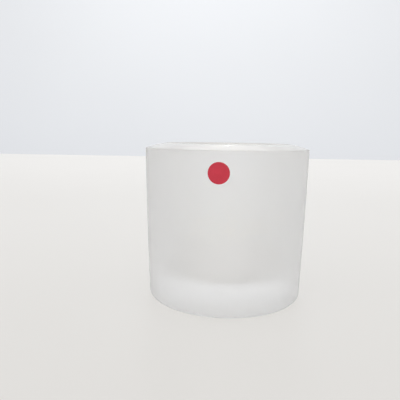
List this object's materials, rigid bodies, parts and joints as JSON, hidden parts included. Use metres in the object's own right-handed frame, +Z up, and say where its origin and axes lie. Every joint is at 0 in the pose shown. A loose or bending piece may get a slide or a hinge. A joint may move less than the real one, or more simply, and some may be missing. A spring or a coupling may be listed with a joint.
{
  "type": "tealight holder",
  "caption": "Thick, slightly tapered frosted-glass votive with a plain round sticker, holding a lift-out tealight with cup, wax, wick and wick sustainer.",
  "frame": {"origin": "on the table, on the holder's axis, at the middle of its foot", "axes": "+Z up along the holder's axis; -Y is the front, where the sticker is; +X is to the right seen from the front"},
  "size_m": [0.064, 0.0641, 0.0605],
  "materials": {
    "frosted_glass": "satin frosted outside, smoother inside",
    "sticker": "satin film",
    "foil": "drawn foil",
    "wax": "poured paraffin",
    "cotton": "braided",
    "tinplate": "stamped"
  },
  "bodies": {
    "holder": {"glass_holder": "frosted_glass", "label": "sticker"},
    "tealight": {"tealight_cup": "foil", "tealight_wax": "wax", "wick": "cotton", "wick_sustainer": "tinplate"}
  },
  "joints": [
    {"name": "tealight_lift", "type": "slide", "parent": "holder", "child": "tealight", "axis": [0, 0, 1], "range_m": [0, 0.06]}
  ]
}
